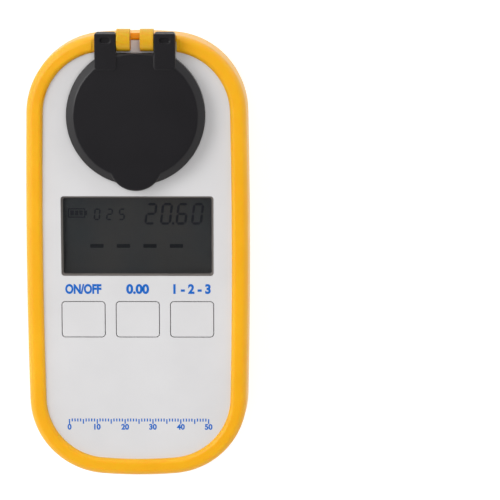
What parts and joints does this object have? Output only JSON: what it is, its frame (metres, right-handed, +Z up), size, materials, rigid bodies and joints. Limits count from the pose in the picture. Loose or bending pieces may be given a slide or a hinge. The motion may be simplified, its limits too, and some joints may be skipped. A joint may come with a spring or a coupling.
{
  "type": "handheld digital refractometer",
  "caption": "Palm-sized digital alcohol refractometer with a hinged lid over its sample well, a dark display, push keys and a rounded surround.",
  "frame": {"origin": "middle of the footprint, on the surface that the meter's flat back rests on", "axes": "+Z up out of the face, +Y towards the lid's hinge, +X to the right as the display is read"},
  "size_m": [0.0588, 0.1184, 0.0251],
  "materials": {
    "yellow_plastic": "satin",
    "white_plastic": "satin",
    "key_plastic": "satin",
    "lid_plastic": "satin",
    "collar_plastic": "satin",
    "optics_plastic": "matte",
    "holder_plastic": "satin",
    "black_rubber": "matte",
    "strip_rubber": "matte",
    "dish_steel": "polished",
    "screw_steel": "zinc plated",
    "pin_steel": "polished",
    "contact_steel": "nickel plated",
    "insert_brass": "machined",
    "prism_glass": "polished",
    "lens_glass": "polished",
    "pane_acrylic": "clear",
    "display_glass": "polariser film",
    "board_green": "solder mask",
    "chip_black": "moulded",
    "part_ceramic": "ceramic",
    "lamp_epoxy": "clear epoxy",
    "switch_plastic": "moulded",
    "plunger_plastic": "moulded",
    "flex_film": "polyimide film",
    "connector_plastic": "moulded",
    "cell_wrap": "printed wrap",
    "lead_red": "pvc",
    "lead_black": "pvc"
  },
  "bodies": {
    "case": {"surround": "yellow_plastic", "rear_shell": "yellow_plastic", "front_shell": "white_plastic", "case_seal": "black_rubber", "case_screws": "screw_steel", "well_collar": "collar_plastic", "sample_dish": "dish_steel", "prism": "prism_glass", "prism_seal": "black_rubber", "optics_housing": "optics_plastic", "optics_cover": "optics_plastic", "optics_screws": "screw_steel", "lamp": "lamp_epoxy", "imaging_lens": "lens_glass", "image_sensor": "chip_black", "sensor_board": "board_green", "temperature_probe": "part_ceramic", "flex_cable": "flex_film", "flex_connector": "connector_plastic", "display_pane": "pane_acrylic", "display_glass": "display_glass", "display_holder": "holder_plastic", "contact_strips": "strip_rubber", "main_board": "board_green", "board_screws": "screw_steel", "controller_chip": "chip_black", "board_parts": "part_ceramic", "battery_cell": "cell_wrap", "positive_contact": "contact_steel", "negative_contact": "contact_steel", "positive_lead": "lead_red", "negative_lead": "lead_black", "door_inserts": "insert_brass", "read_switch": "switch_plastic", "calibrate_switch": "switch_plastic", "scale_switch": "switch_plastic"},
    "lid": {"lid_shell": "lid_plastic", "lid_seal": "black_rubber", "hinge_pin_right": "pin_steel", "hinge_pin_left": "pin_steel"},
    "read_button": {"read_key": "key_plastic", "read_plunger": "plunger_plastic"},
    "calibrate_button": {"calibrate_key": "key_plastic", "calibrate_plunger": "plunger_plastic"},
    "scale_button": {"scale_key": "key_plastic", "scale_plunger": "plunger_plastic"},
    "door": {"battery_door": "yellow_plastic", "door_seal": "black_rubber", "door_screws": "screw_steel"}
  },
  "joints": [
    {"name": "lid_hinge", "type": "hinge", "parent": "case", "child": "lid", "pos_m": [0, 0.05633, 0.0222], "axis": [-1, 0, 0], "range_deg": [0, 135]},
    {"name": "read_press", "type": "slide", "parent": "case", "child": "read_button", "axis": [0, 0, -1], "range_m": [0, 0.0004], "stiffness_N_per_m": 400},
    {"name": "calibrate_press", "type": "slide", "parent": "case", "child": "calibrate_button", "axis": [0, 0, -1], "range_m": [0, 0.0004], "stiffness_N_per_m": 400},
    {"name": "scale_press", "type": "slide", "parent": "case", "child": "scale_button", "axis": [0, 0, -1], "range_m": [0, 0.0004], "stiffness_N_per_m": 400},
    {"name": "door_lift_off", "type": "slide", "parent": "case", "child": "door", "axis": [0, 0, -1], "range_m": [0, 0.008]}
  ]
}
